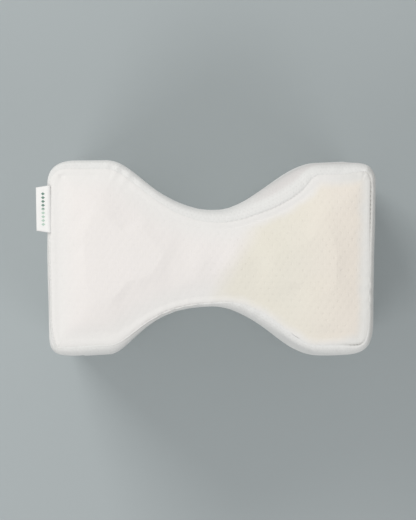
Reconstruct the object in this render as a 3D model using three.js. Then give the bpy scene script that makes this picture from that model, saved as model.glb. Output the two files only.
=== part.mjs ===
// Knee pillow: an hourglass block of foam in a sewn knit cover, lying on its back panel.
// The cover is a crowned front panel, a flat back panel and a gusset round the sides.
// A short folded tape is sewn into the front seam at the left end.
// Millimetres. +X along the pillow, +Y across its ends, +Z up out of the front panel.
// The origin is on the back panel, in the middle of the outline.
import * as THREE from 'three';

const DEPTH = 200;
const HALF_LENGTH = 125;
const HALF_WIDTH = 75;
const LOBE_MIDDLE_X = 88;
const PANEL_CROWN = 5;
const CORNER_DROOP = 2.5;
const SEAM_GROOVE = 1.2;

// The middle of the waist on either side.
const NECKS = {
  upper: new THREE.Vector2(2, 36.5),
  lower: new THREE.Vector2(-1, -37),
};

// The outline by quarters, each from its neck to the pillow's end. A flank sweeps from the neck
// to the shoulder, a short edge runs on to the corner, and the corner turns down to the end.
// A reach is how far a curve runs straight on before it bends.
const QUARTERS = {
  upperLeft: {
    neck: NECKS.upper, sideX: -1, sideY: 1, neckReach: 41.5,
    shoulderX: 79, shoulderY: 74.5, shoulderReach: 20.5,
    cornerX: 101.5, cornerY: 74.5, cornerReach: 14.5,
    endX: 125, endY: 56, endReach: 14,
  },
  lowerLeft: {
    neck: NECKS.lower, sideX: -1, sideY: -1, neckReach: 53.5,
    shoulderX: 79.5, shoulderY: 73, shoulderReach: 19.5,
    cornerX: 102, cornerY: 74.5, cornerReach: 22.5,
    endX: 123.5, endY: 47, endReach: 24,
  },
  lowerRight: {
    neck: NECKS.lower, sideX: 1, sideY: -1, neckReach: 37,
    shoulderX: 80.5, shoulderY: 74, shoulderReach: 28,
    cornerX: 99.5, cornerY: 73.5, cornerReach: 19.5,
    endX: 123, endY: 47, endReach: 19.5,
  },
  upperRight: {
    neck: NECKS.upper, sideX: 1, sideY: 1, neckReach: 28.5,
    shoulderX: 81, shoulderY: 73, shoulderReach: 28.5,
    cornerX: 101.5, cornerY: 73.5, cornerReach: 15,
    endX: 125, endY: 57, endReach: 15.5,
  },
};

// How far the front seam lies inside the outline: at even places along the flank from the neck to
// the shoulder, at the corner and at the end. The cover sits a little off centre, so the gusset
// rolls furthest over the top on the upper right flank.
const SEAM_INSETS = {
  upperLeft: { flank: [9.6, 8.2, 7, 7, 7], corner: 5, end: 2.5 },
  lowerLeft: { flank: [3, 2.6, 2.7, 4.2, 7.6], corner: 5.2, end: 2.5 },
  lowerRight: { flank: [3, 7.5, 9.4, 8.9, 8], corner: 5, end: 4 },
  upperRight: { flank: [9.6, 13, 18, 18.3, 10], corner: 6.5, end: 4 },
};

const FLANK_STEPS = 18;
const EDGE_STEPS = 2;
const CORNER_STEPS = 9;
const END_STEPS = 5;

// The gusset rolls over from each seam to the side wall, deeper where the seam is further in.
const ROLL_STEPS = 6;
const ROLL_SQUARENESS = 2.4;
const FRONT_ROLL_DEPTH = 7;
const FRONT_ROLL_PER_INSET = 0.95;
const BACK_SEAM_INSET = 5;
const BACK_ROLL_DEPTH = 10;
const WALL_STEPS = 7;
const WALL_BULGE = 1.6;

// Rings of the front panel, as the share of the way from its seam to the middle of its lobes.
const PANEL_RINGS = [0.04, 0.1, 0.2, 0.38, 0.62, 0.86];
const CROWN_FLATNESS = 4;
const BACK_PANEL_RIM = 0.05;

// Soft troughs where the gusset's cloth is slack over the foam. A place is the share of the way
// round the outline, anticlockwise from the upper neck. The rest are millimetres.
const GUSSET_TROUGHS = [
  { place: 0.9, height: 172, depth: 1.6, along: 34, up: 12 },
  { place: 0.6, height: 164, depth: 1.4, along: 30, up: 16 },
  { place: 0.09, height: 112, depth: 1.2, along: 26, up: 40 },
  { place: 0.4, height: 70, depth: 1.3, along: 28, up: 36 },
  { place: 0.76, height: 100, depth: 1, along: 22, up: 50 },
];

// The folded tape. Its root lies against the seam and its fold is past the side.
const TAB_MIDDLE_Y = 37;
const TAB_HALF_WIDTH = 18;
const TAB_LAYER = 0.8;
const TAB_LAYER_GAP = 0.4;
const TAB_THICKNESS = 2 * TAB_LAYER + TAB_LAYER_GAP;
const TAB_CLEARANCE = 0.35;
const TAB_FOLD_STEPS = 4;
const TAB_STATIONS = [
  { station: 'root', out: 0, droop: 0, halfWidth: 18 },
  { station: 'over the roll', out: 3.2, droop: 0.1, halfWidth: 17.7 },
  { station: 'past the side', out: 6.6, droop: 0.7, halfWidth: 17.1 },
  { station: 'fold', out: 9.3, droop: 1.6, halfWidth: 16.5 },
];

const COVER_CLOTH = new THREE.MeshStandardMaterial({
  name: 'cover_cloth', color: 0xe9e6e1, roughness: 0.95, metalness: 0,
});
const WOVEN_TAPE = new THREE.MeshStandardMaterial({
  name: 'woven_tape', color: 0xf1f1ee, roughness: 0.75, metalness: 0,
});

// A value on the smooth curve through evenly spaced values, at a share of the way along it.
function throughValues(values, share) {
  const curve = new THREE.SplineCurve(values.map((value, index) => new THREE.Vector2(index, value)));
  return curve.getPoint(share).y;
}

// The three curves of a quarter, from neck to end, each with the seam's insets along it.
function quarterStretches(quarter, { flank, corner: cornerInset, end: endInset }) {
  const shoulderInset = flank.at(-1);
  const place = (x, y) => new THREE.Vector2(quarter.sideX * x, quarter.sideY * y);
  const { neck, shoulderX, shoulderY, cornerX, cornerY, endX, endY } = quarter;
  const neckHandle = neck.clone().setX(neck.x + quarter.sideX * quarter.neckReach);
  const shoulder = place(shoulderX, shoulderY);
  const shoulderHandle = place(shoulderX - quarter.shoulderReach, shoulderY);
  const corner = place(cornerX, cornerY);
  const cornerHandle = place(cornerX + quarter.cornerReach, cornerY);
  const end = place(endX, endY);
  const endHandle = place(endX, endY + quarter.endReach);
  return [
    {
      curve: new THREE.CubicBezierCurve(neck, neckHandle, shoulderHandle, shoulder),
      steps: FLANK_STEPS,
      insets: flank,
    },
    {
      curve: new THREE.LineCurve(shoulder, corner),
      steps: EDGE_STEPS,
      insets: [shoulderInset, shoulderInset],
    },
    {
      curve: new THREE.CubicBezierCurve(corner, cornerHandle, endHandle, end),
      steps: CORNER_STEPS,
      insets: [shoulderInset, cornerInset, endInset],
    },
  ];
}

// The points of a stretch, each with the seam's inset there. The last is left to the next stretch.
function stretchPoints({ curve, steps, insets }) {
  return Array.from({ length: steps }, (_, step) => ({
    at: curve.getPointAt(step / steps),
    inset: throughValues(insets, step / steps),
  }));
}

function quarterPoints(name) {
  const stretches = quarterStretches(QUARTERS[name], SEAM_INSETS[name]);
  const last = stretches.at(-1);
  const end = { at: last.curve.getPointAt(1), inset: last.insets.at(-1) };
  return [...stretches.flatMap(stretchPoints), end];
}

// The points between the ends of two quarters, on the straight end of the pillow.
function endPoints(from, to) {
  return Array.from({ length: END_STEPS - 1 }, (_, step) => {
    const share = (step + 1) / END_STEPS;
    const at = from.at.clone().lerp(to.at, share);
    return { at, inset: THREE.MathUtils.lerp(from.inset, to.inset, share) };
  });
}

// The whole outline, anticlockwise from the upper neck.
function outlinePoints() {
  const upperLeft = quarterPoints('upperLeft');
  const lowerLeft = quarterPoints('lowerLeft').reverse();
  const lowerRight = quarterPoints('lowerRight');
  const upperRight = quarterPoints('upperRight').reverse();
  return [
    ...upperLeft,
    ...endPoints(upperLeft.at(-1), lowerLeft[0]),
    ...lowerLeft,
    ...lowerRight.slice(1),
    ...endPoints(lowerRight.at(-1), upperRight[0]),
    ...upperRight.slice(0, -1),
  ];
}

// Adds to each outline point its outward direction, its way round and its place on the front seam.
function outlineColumns() {
  const points = outlinePoints();
  let walked = 0;
  return points.map((point, index) => {
    const before = points.at(index - 1);
    const after = points[(index + 1) % points.length];
    walked += index > 0 ? point.at.distanceTo(before.at) : 0;
    const along = after.at.clone().sub(before.at).normalize();
    const outward = new THREE.Vector2(along.y, -along.x);
    const seam = point.at.clone().addScaledVector(outward, -point.inset);
    return { ...point, outward, walked, seam };
  });
}

// The way round the outline that lies between a column and a place, the shorter way.
function wayTo(column, place, girth) {
  const apart = Math.abs(column.walked - place * girth);
  return Math.min(apart, girth - apart);
}

function troughDepth(column, height, girth) {
  return GUSSET_TROUGHS.reduce((sum, trough) => {
    const along = wayTo(column, trough.place, girth) / trough.along;
    const up = (height - trough.height) / trough.up;
    return sum + trough.depth * Math.exp(-along * along - up * up);
  }, 0);
}

// How near a point of a panel is to a corner, from 0 in the middle to 1.
function cornerShare(at) {
  return (Math.abs(at.x) / HALF_LENGTH * Math.abs(at.y) / HALF_WIDTH) ** 3;
}

function frontSeamHeight(at) {
  return DEPTH - PANEL_CROWN - CORNER_DROOP * cornerShare(at);
}

// A point of a panel, the given share of the way in from its seam to the middle of its lobes.
function inFromSeam(seam, share) {
  const middle = new THREE.Vector2(THREE.MathUtils.clamp(seam.x, -LOBE_MIDDLE_X, LOBE_MIDDLE_X), 0);
  return seam.clone().lerp(middle, share);
}

function frontPanelRing(columns, share) {
  const rise = PANEL_CROWN * Math.sqrt(1 - (1 - share) ** CROWN_FLATNESS);
  return columns.map(({ seam }) => {
    const at = inFromSeam(seam, share);
    return new THREE.Vector3(at.x, at.y, frontSeamHeight(at) + rise);
  });
}

// Share of a roll's width and depth at an angle from its seam, along a rounded square.
function rollShares(angle) {
  const power = 2 / ROLL_SQUARENESS;
  return { out: Math.sin(angle) ** power, down: 1 - Math.cos(angle) ** power };
}

function frontRollDepth(column) {
  return FRONT_ROLL_DEPTH + FRONT_ROLL_PER_INSET * column.inset;
}

// A gusset point: out from the outline by a distance, at a height, and in by the troughs there.
function gussetPoint(column, out, height, girth) {
  const net = out - troughDepth(column, height, girth);
  const at = column.at.clone().addScaledVector(column.outward, net);
  return new THREE.Vector3(at.x, at.y, height);
}

function frontRollRing(columns, angle, girth) {
  const shares = rollShares(angle);
  return columns.map((column) => {
    const height = frontSeamHeight(column.seam) - shares.down * frontRollDepth(column);
    return gussetPoint(column, -column.inset * (1 - shares.out), height, girth);
  });
}

function wallRing(columns, share, girth) {
  const bulge = WALL_BULGE * Math.sin(Math.PI * share);
  return columns.map((column) => {
    const top = frontSeamHeight(column.seam) - frontRollDepth(column);
    return gussetPoint(column, bulge, THREE.MathUtils.lerp(top, BACK_ROLL_DEPTH, share), girth);
  });
}

function backRollRing(columns, angle, girth) {
  const shares = rollShares(angle);
  const out = -BACK_SEAM_INSET * (1 - shares.out);
  return columns.map((column) => gussetPoint(column, out, shares.down * BACK_ROLL_DEPTH, girth));
}

function frontSeamRing(columns) {
  return columns.map(({ seam }) => {
    const height = frontSeamHeight(seam) - SEAM_GROOVE;
    return new THREE.Vector3(seam.x, seam.y, height);
  });
}

function backSeam(column) {
  return column.at.clone().addScaledVector(column.outward, -BACK_SEAM_INSET);
}

function backSeamRing(columns) {
  return columns.map(backSeam).map((seam) => new THREE.Vector3(seam.x, seam.y, SEAM_GROOVE));
}

function backPanelRing(columns) {
  return columns.map(backSeam).map((seam) => {
    const at = inFromSeam(seam, BACK_PANEL_RIM);
    return new THREE.Vector3(at.x, at.y, 0);
  });
}

// The rings of the pillow from the front panel's plateau down to the flat of the back panel.
function pillowRings() {
  const columns = outlineColumns();
  const girth = columns.at(-1).walked + columns.at(-1).at.distanceTo(columns[0].at);
  const rollAngles = Array.from({ length: ROLL_STEPS }, (_, step) => (
    (Math.PI / 2) * ((step + 1) / ROLL_STEPS)
  ));
  const wallShares = Array.from({ length: WALL_STEPS }, (_, step) => (step + 1) / (WALL_STEPS + 1));
  return [
    ...PANEL_RINGS.toReversed().map((share) => frontPanelRing(columns, share)),
    frontSeamRing(columns),
    ...rollAngles.map((angle) => frontRollRing(columns, angle, girth)),
    ...wallShares.map((share) => wallRing(columns, share, girth)),
    ...rollAngles.toReversed().map((angle) => backRollRing(columns, angle, girth)),
    backSeamRing(columns),
    backPanelRing(columns),
  ];
}

function capTriangles(ring) {
  const contour = ring.map((point) => new THREE.Vector2(point.x, point.y));
  return THREE.ShapeUtils.triangulateShape(contour, []);
}

// Joins rings of equal length, highest first, and closes the top and bottom with flat caps.
function loftGeometry(rings) {
  const around = rings[0].length;
  const vertex = (ring, column) => ring * around + (column % around);
  const triangles = [];
  for (let ring = 0; ring < rings.length - 1; ring += 1) {
    for (let column = 0; column < around; column += 1) {
      const upper = [vertex(ring, column), vertex(ring, column + 1)];
      const lower = [vertex(ring + 1, column), vertex(ring + 1, column + 1)];
      triangles.push(upper[0], lower[0], lower[1], upper[0], lower[1], upper[1]);
    }
  }
  capTriangles(rings[0]).forEach((face) => triangles.push(...face));
  const lowest = vertex(rings.length - 1, 0);
  capTriangles(rings.at(-1)).forEach(([a, b, c]) => triangles.push(lowest + a, lowest + c, lowest + b));
  const geometry = new THREE.BufferGeometry().setFromPoints(rings.flat());
  geometry.setIndex(triangles);
  geometry.computeVertexNormals();
  return geometry;
}

function makePillow() {
  const pillow = new THREE.Mesh(loftGeometry(pillowRings()), COVER_CLOTH);
  pillow.name = 'pillow';
  return pillow;
}

// The tape's section seen along its width: two layers a little apart, joined by a round fold.
function tabSection() {
  const line = (drop) => TAB_STATIONS.map(({ out, droop }) => new THREE.Vector2(out, -droop - drop));
  const fold = TAB_STATIONS.at(-1);
  const radius = TAB_THICKNESS / 2;
  const foldRound = Array.from({ length: TAB_FOLD_STEPS - 1 }, (_, step) => {
    const angle = Math.PI * (0.5 - (step + 1) / TAB_FOLD_STEPS);
    const out = fold.out + radius * Math.cos(angle);
    return new THREE.Vector2(out, radius * (Math.sin(angle) - 1) - fold.droop);
  });
  const shape = new THREE.Shape();
  shape.setFromPoints([
    ...line(0),
    ...foldRound,
    ...line(TAB_THICKNESS).reverse(),
    ...line(TAB_THICKNESS - TAB_LAYER),
    ...line(TAB_LAYER).reverse(),
  ]);
  return shape;
}

// Half the tape's width at a distance out from its root.
function tabHalfWidth(out) {
  const next = TAB_STATIONS.findIndex((station) => station.out >= out);
  const to = TAB_STATIONS.at(next);
  const from = TAB_STATIONS[Math.max(next - 1, 0)];
  const share = THREE.MathUtils.clamp((out - from.out) / (to.out - from.out || 1), 0, 1);
  return THREE.MathUtils.lerp(from.halfWidth, to.halfWidth, share);
}

function tabGeometry() {
  const solid = { depth: 2 * TAB_HALF_WIDTH, bevelEnabled: false };
  const geometry = new THREE.ExtrudeGeometry(tabSection(), solid);
  geometry.translate(0, 0, -TAB_HALF_WIDTH);
  geometry.rotateX(Math.PI / 2);
  const position = geometry.attributes.position;
  for (let index = 0; index < position.count; index += 1) {
    const taper = tabHalfWidth(position.getX(index)) / TAB_HALF_WIDTH;
    position.setY(index, position.getY(index) * taper);
  }
  geometry.computeVertexNormals();
  return geometry;
}

// The tape is turned so that its root runs along the seam of the left end.
function makeSideTab() {
  const { upperLeft, lowerLeft } = QUARTERS;
  const upper = new THREE.Vector2(-upperLeft.endX, upperLeft.endY);
  const lower = new THREE.Vector2(-lowerLeft.endX, -lowerLeft.endY);
  const endLine = lower.clone().sub(upper);
  const share = (TAB_MIDDLE_Y - upper.y) / endLine.y;
  const inset = SEAM_INSETS.upperLeft.end - TAB_CLEARANCE;
  const root = upper.clone().addScaledVector(endLine, share);
  const height = frontSeamHeight(root) + TAB_CLEARANCE + TAB_THICKNESS;
  const tab = new THREE.Mesh(tabGeometry(), WOVEN_TAPE);
  tab.name = 'side_tab';
  tab.position.set(root.x + inset, root.y, height);
  tab.rotation.z = endLine.angle() - Math.PI / 2;
  return tab;
}

const kneePillow = new THREE.Group();
kneePillow.add(makePillow(), makeSideTab());

export default kneePillow;
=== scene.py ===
"""Knee pillow: a dimpled knit cover over an hourglass block of foam, with a folded tape in its seam.

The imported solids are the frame. The cover and the tape replace them where they lie, in metres.
+X runs along the pillow, +Y across its ends, and +Z up out of the front panel.
"""
from collections import namedtuple

import bmesh
import bpy
import numpy as np
from bpy.props import FloatProperty, FloatVectorProperty, IntProperty, PointerProperty
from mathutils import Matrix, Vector, noise
from mathutils.bvhtree import BVHTree
from mathutils.interpolate import poly_3d_calc
from mathutils.kdtree import KDTree


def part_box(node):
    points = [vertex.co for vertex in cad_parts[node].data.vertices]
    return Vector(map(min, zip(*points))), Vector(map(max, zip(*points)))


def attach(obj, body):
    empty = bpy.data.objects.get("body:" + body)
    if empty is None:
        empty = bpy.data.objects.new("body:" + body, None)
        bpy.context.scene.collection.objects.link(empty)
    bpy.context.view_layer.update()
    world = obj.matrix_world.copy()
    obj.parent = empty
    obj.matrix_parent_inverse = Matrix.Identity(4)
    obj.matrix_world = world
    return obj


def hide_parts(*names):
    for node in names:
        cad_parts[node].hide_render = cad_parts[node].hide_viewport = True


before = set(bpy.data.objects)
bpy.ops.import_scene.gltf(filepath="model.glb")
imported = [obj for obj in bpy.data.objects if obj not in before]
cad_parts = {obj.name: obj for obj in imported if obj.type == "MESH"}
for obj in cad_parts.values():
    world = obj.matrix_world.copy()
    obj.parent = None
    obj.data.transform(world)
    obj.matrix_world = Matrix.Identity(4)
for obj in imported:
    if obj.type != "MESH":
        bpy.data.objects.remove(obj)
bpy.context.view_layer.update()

bl_info = {
    "name": "Knee pillow",
    "version": (1, 0, 0),
    "blender": (4, 5, 0),
    "location": "View3D > Sidebar > Knee pillow",
    "description": "Makes the knit cover, the side tape and the stage of a knee pillow",
    "category": "Add Mesh",
}

MM = 0.001
TURN = 2 * np.pi

# The outline by quarters, in millimetres, each from its neck to the pillow's end. A flank sweeps
# from the neck to the shoulder, a short edge runs on, and the corner turns down to the end. A
# reach is how far a curve runs straight on before it bends.
Quarter = namedtuple(
    "Quarter", "neck side neck_reach shoulder shoulder_reach corner corner_reach end end_reach seam")
# How far the front seam lies inside the outline: at even places along the flank from the neck to
# the shoulder, at the corner and at the end. The roll is how square the gusset turns over there,
# from 2, a quarter of an ellipse, upwards.
Seam = namedtuple("Seam", "flank corner end roll")
QUARTERS = {
    "upper_left": Quarter(
        (2, 36.5), (-1, 1), 41.5, (79, 74.5), 20.5, (101.5, 74.5), 14.5, (125, 56), 14,
        Seam((9.6, 8.2, 7, 7, 7), 5, 2.5, 3.6)),
    "lower_left": Quarter(
        (-1, -37), (-1, -1), 53.5, (79.5, 73), 19.5, (102, 74.5), 22.5, (123.5, 47), 24,
        Seam((3, 2.6, 2.7, 4.2, 7.6), 5.2, 2.5, 2.5)),
    "lower_right": Quarter(
        (-1, -37), (1, -1), 37, (80.5, 74), 28, (99.5, 73.5), 19.5, (123, 47), 19.5,
        Seam((3, 7.5, 9.4, 8.9, 8), 5, 4, 2.2)),
    "upper_right": Quarter(
        (2, 36.5), (1, 1), 28.5, (81, 73), 28.5, (101.5, 73.5), 15, (125, 57), 15.5,
        Seam((9.6, 13, 18, 18.3, 10), 6.5, 4, 2.5)),
}
CURVE_STEPS = 600
FLANK_POINTS = 181
EDGE_POINTS = 31
CORNER_POINTS = 61
DENSE_POINTS = 4464

# How far the outline, the front seam and the roll's squareness are smoothed along, in millimetres.
OUTLINE_BLEND = 1.7
SEAM_BLEND = 1.5
ROLL_BLEND = 12

# Columns of the cover's mesh along each long side and each end, its rings, the depth of its rolls,
# of which the front one's grows by a share of the seam's inset, and the reach of its crown.
# Lengths are in millimetres.
LONG_COLUMNS = 240
END_COLUMNS = 132
RIM_GAPS = (0.35, 0.8, 1.4, 2.2, 3.2, 4.6)
ROLL_ROWS = 14
ROLL_CROWDING = 1.6
BACK_ROLL_SQUARENESS = 2.6
BACK_SEAM_INSET = 5
FRONT_ROLL_DEPTH = 7
FRONT_ROLL_SHARE = 0.95
BACK_ROLL_DEPTH = 10
CROWN_REACH = 40
CROWN_SQUARENESS = 2.8
WALL_ROWS = 62
BACK_ROLL_ROWS = 8
BACK_RIM_GAPS = (0.6, 1.4, 2.6, 4.2)
EVENING_ROUNDS = 450

# The gusset bulges in full where it faces away from the middle and lies this far from it, in
# metres, and not at all in the hollows.
BULGING_REACH = 0.06

# Where the corners lie, in metres.
CORNER = (0.125, 0.075)

# How far the cloth may sink into the foam, in millimetres, and the share of its settling left at
# the gusset's top.
SINK = 1.8
HELD_SHARE = 0.15

# Where the front seam shows more than elsewhere: a point beside it, how far along it, and by what
# share it shows more. Millimetres.
SEAM_ACCENTS = (
    ((50, 48), 34, 0.5),
    ((110, -67), 9, 1.4),
    ((-98, 67), 10, 0.2),
    ((-122, -30), 40, 0.3),
    ((-25, -37), 34, 0.5),
    ((122, 42), 26, 1.3),
)
FAINTEST_SEAM = 0.12

# Where a row of stitching shows on the gusset just outside the seam, in the same way.
STITCH_ROWS = (
    ((-122, -20), 50, 1.0),
    ((-45, -42), 44, 1.0),
)
STITCH_GAP = 1.6
DASH = 3.4

# Soft troughs where the gusset is slack over the foam: the share of the way round from the upper
# neck, anticlockwise, the height, the depth, and how far it reaches along and up. Millimetres.
# A depth below zero is a swell.
GUSSET_TROUGHS = (
    (0.9, 172, 1.6, 34, 12),
    (0.6, 136, 1.4, 30, 18),
    (0.09, 112, 1.2, 26, 40),
    (0.4, 70, 1.3, 28, 36),
    (0.76, 100, 1.0, 22, 50),
    (0.255, 180, -0.9, 42, 30),
    (0.598, 185, 2.3, 28, 7.5),
    (0.6335, 184, -1.4, 20, 24),
)


def measure(name, description, default, precision=4):
    return FloatProperty(
        name=name, description=description, default=default, unit="LENGTH", subtype="DISTANCE",
        precision=precision)


def paint(name, description, default):
    return FloatVectorProperty(
        name=name, description=description, default=default, size=3, min=0.0, max=1.0, subtype="COLOR")


def watts(name, description, default):
    return FloatProperty(name=name, description=description, default=default, unit="POWER")


class CoverSizes(bpy.types.PropertyGroup):
    """The cover's measures that can be changed without a new pattern."""

    depth: measure("Depth", "Height of the front panel above the back panel", 0.2)
    crown: measure("Crown", "Rise of the front panel from its seam to its middle", 0.005)
    corner_droop: measure("Corner droop", "How far the front seam drops at the corners", 0.0025)
    seam_groove: measure("Seam groove", "Depth of the groove where panel and gusset meet", 0.0008, 5)
    pucker: measure("Pucker", "Height of the small ripples beside the seams", 0.00028, 5)
    unevenness: measure("Unevenness", "Height of the broad soft swells of cloth over foam", 0.0006, 5)
    wall_bulge: measure("Wall bulge", "How far the gusset bulges at mid height", 0.0016)
    puff: measure("Puff", "The most that the inflated cloth may move from the foam", 0.0035)
    fill: FloatProperty(
        name="Fill", description="How tightly the foam fills the cover, from slack to tight",
        default=0.9, min=0.0, max=1.0, subtype="FACTOR")


class CoverFinish(bpy.types.PropertyGroup):
    """Colours and knit of the cover."""

    panel_colour: paint("Panel colour", "White of the front panel's knit", (0.83, 0.799, 0.779))
    edge_colour: paint("Edge colour", "Cooler white of the panel beside its seam", (0.808, 0.80, 0.782))
    # Painted shade: the panel's edge greys at the right end, where less light falls.
    painted_end_shade: paint("End colour", "Greyer white of the panel's edge at the right end", (0.75, 0.746, 0.722))
    cream_colour: paint("Cream", "Warmer yarn of the panel's right half", (0.79, 0.758, 0.668))
    far_cream_colour: paint("Far cream", "Pinker yarn towards the right end", (0.83, 0.772, 0.695))
    gusset_colour: paint("Gusset colour", "White of the gusset's smoother knit", (0.80, 0.80, 0.785))
    dimple_width: measure("Dimple spacing along", "Spacing of the dimples along the pillow", 0.0058, 5)
    dimple_rise: measure("Dimple spacing across", "Spacing of the rows of dimples", 0.0047, 5)
    dimple_radius: measure("Dimple radius", "Half the width of a dimple", 0.0013, 5)
    dimple_depth: measure("Dimple depth", "Depth of a dimple in the front panel", 0.00015, 5)
    wale: measure("Wale", "Width of one column of knit stitches", 0.0012, 5)


class TapeFinish(bpy.types.PropertyGroup):
    """Sizes and colours of the folded side tape."""

    width: measure("Width", "Width of the tape at the seam", 0.036)
    fold_width: measure("Fold width", "Width of the tape at its fold", 0.033)
    thickness: measure("Thickness", "Thickness of one layer of the tape", 0.00038, 5)
    colour: paint("Colour", "White of the satin weave", (0.86, 0.86, 0.845))
    mark_colour: paint("Mark colour", "Dark thread of the woven diamonds", (0.05, 0.17, 0.12))
    pale_mark_colour: paint("Pale mark colour", "Pale thread of the woven diamonds", (0.42, 0.58, 0.48))
    marks: IntProperty(
        name="Diamonds", description="How many diamonds are woven along the tape", default=9, min=0, max=12)


class StageSetup(bpy.types.PropertyGroup):
    """Floor, lights and camera."""

    floor_colour: paint("Floor colour", "Plain pale floor", (0.40, 0.44, 0.45))
    key_power: watts("Key light", "Power of the soft light at the upper left", 19.5)
    left_power: watts("Left fill", "Power of the soft light at the lower left", 10.0)
    right_power: watts("Right fill", "Power of the soft light at the lower right", 6.5)
    room_light: FloatProperty(
        name="Room light", description="Strength of the even light from all round", default=0.54, min=0.0)
    camera_height: measure("Camera height", "Height of the camera above the back panel", 2.386)
    view_height: measure("Height of the view", "What the picture's long side covers at the outline", 0.3952)


# Outline and seams

def lengths_along(points):
    """How far along an open run each point lies."""
    return np.concatenate([[0], np.cumsum(np.linalg.norm(np.diff(points, axis=0), axis=1))])


def evenly_along(points, count):
    """Points at even places along a run."""
    along = lengths_along(points)
    at = np.linspace(0, along[-1], count)
    return np.stack([np.interp(at, along, points[:, axis]) for axis in range(2)], axis=1)


def cubic_run(handles, count):
    """Points of a cubic curve, spaced evenly along it."""
    t = np.linspace(0, 1, CURVE_STEPS)[:, None]
    a, b, c, d = (np.array(handle, float) for handle in handles)
    fine = (1 - t) ** 3 * a + 3 * (1 - t) ** 2 * t * b + 3 * (1 - t) * t ** 2 * c + t ** 3 * d
    return evenly_along(fine, count)


def through_values(values, count):
    """Values on the smooth curve through evenly spaced ones, at some even places along it."""
    values = np.array(values, float)
    last = len(values) - 1
    place = np.linspace(0, last, count)
    at = np.minimum(place.astype(int), last - 1)
    part = place - at
    before, start, end, after = (values[np.clip(at + step, 0, last)] for step in (-1, 0, 1, 2))
    lean_in, lean_out = (end - before) / 2, (after - start) / 2
    bend = 3 * (end - start) - 2 * lean_in - lean_out
    return start + part * (lean_in + part * (bend + part * (2 * (start - end) + lean_in + lean_out)))


def quarter_run(quarter):
    """One quarter from neck to end, as x, y, inset and roll, and the index of its corner."""
    side = np.array(quarter.side, float)
    neck = np.array(quarter.neck, float)
    shoulder, corner, end = (side * spot for spot in (quarter.shoulder, quarter.corner, quarter.end))
    reach_x, reach_y = side * (1, 0), side * (0, 1)
    seam = quarter.seam
    shoulder_inset = seam.flank[-1]
    flank = cubic_run((neck, neck + reach_x * quarter.neck_reach,
                       shoulder - reach_x * quarter.shoulder_reach, shoulder), FLANK_POINTS)
    edge = shoulder + (corner - shoulder) * np.linspace(0, 1, EDGE_POINTS)[:, None]
    turn = cubic_run((corner, corner + reach_x * quarter.corner_reach,
                      end + reach_y * quarter.end_reach, end), CORNER_POINTS)
    rows = (
        (flank, seam.flank),
        (edge, (shoulder_inset, shoulder_inset)),
        (turn, (shoulder_inset, seam.corner, seam.end)),
    )
    run = np.vstack([
        *(np.column_stack([points, through_values(insets, len(points))])[:-1] for points, insets in rows),
        [*end, seam.end]])
    middle_of_turn = (FLANK_POINTS - 1) + (EDGE_POINTS - 1) + (CORNER_POINTS - 1) // 2
    return np.column_stack([run * MM, np.full(len(run), seam.roll)]), middle_of_turn


def closed_lengths(points):
    """How far along a closed run each point lies, and its whole girth."""
    steps = np.linalg.norm(np.roll(points, -1, axis=0) - points, axis=1)
    return np.concatenate([[0], np.cumsum(steps)[:-1]]), steps.sum()


def closed_at(values, along, girth, at):
    """Values of a closed run at places along it."""
    at = np.mod(at, girth)
    wrapped = np.append(along, girth)
    ends = np.vstack([values, values[:1]])
    return np.stack([np.interp(at, wrapped, ends[:, k]) for k in range(ends.shape[1])], axis=1)


def smoothed_round(values, reach):
    """A closed run of values, smoothed over some points."""
    steps = np.fft.fftfreq(len(values))[:, None]
    keep = np.exp(-2 * (np.pi * steps * reach) ** 2)
    return np.fft.ifft(np.fft.fft(values, axis=0) * keep, axis=0).real


def outward_of(points):
    """Outward directions of an anticlockwise closed run."""
    along = np.roll(points, -1, axis=0) - np.roll(points, 1, axis=0)
    along /= np.linalg.norm(along, axis=1)[:, None]
    return np.column_stack([along[:, 1], -along[:, 0]])


def eased_outward(outward, gap, girth):
    """Outward directions evened out round tight corners, so that a ring further in doesn't fold."""
    eased = smoothed_round(outward, 1.3 * gap * len(outward) / girth)
    return eased / np.linalg.norm(eased, axis=1)[:, None]


Outline = namedtuple("Outline", "at outward inset roll seam seam_outward walked girth corners")


def dense_outline():
    """The outline and front seam, anticlockwise from the upper neck, at many even places."""
    runs = {name: quarter_run(quarter) for name, quarter in QUARTERS.items()}
    upper_left, mark_ul = runs["upper_left"]
    lower_left, mark_ll = runs["lower_left"]
    lower_right, mark_lr = runs["lower_right"]
    upper_right, mark_ur = runs["upper_right"]
    rows = np.vstack([upper_left, lower_left[::-1], lower_right[1:], upper_right[::-1][:-1]])
    marks = rows[[
        mark_ul,
        len(upper_left) + len(lower_left) - 1 - mark_ll,
        len(upper_left) + len(lower_left) - 1 + mark_lr,
        len(rows) - mark_ur,
    ], :2]
    along, girth = closed_lengths(rows[:, :2])
    even = closed_at(rows, along, girth, np.arange(DENSE_POINTS) * girth / DENSE_POINTS)
    even = smoothed_round(even, OUTLINE_BLEND * MM * DENSE_POINTS / girth)
    at, inset = even[:, :2], even[:, 2]
    roll = smoothed_round(even[:, 3:], ROLL_BLEND * MM * DENSE_POINTS / girth)[:, 0]
    walked, girth = closed_lengths(at)
    outward = outward_of(at)
    seam = smoothed_round(at - outward * inset[:, None], SEAM_BLEND * MM * DENSE_POINTS / girth)
    corners = [int(np.argmin(np.linalg.norm(at - mark, axis=1))) for mark in marks]
    return Outline(at, outward, inset, roll, seam, outward_of(seam), walked, girth, corners)


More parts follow.
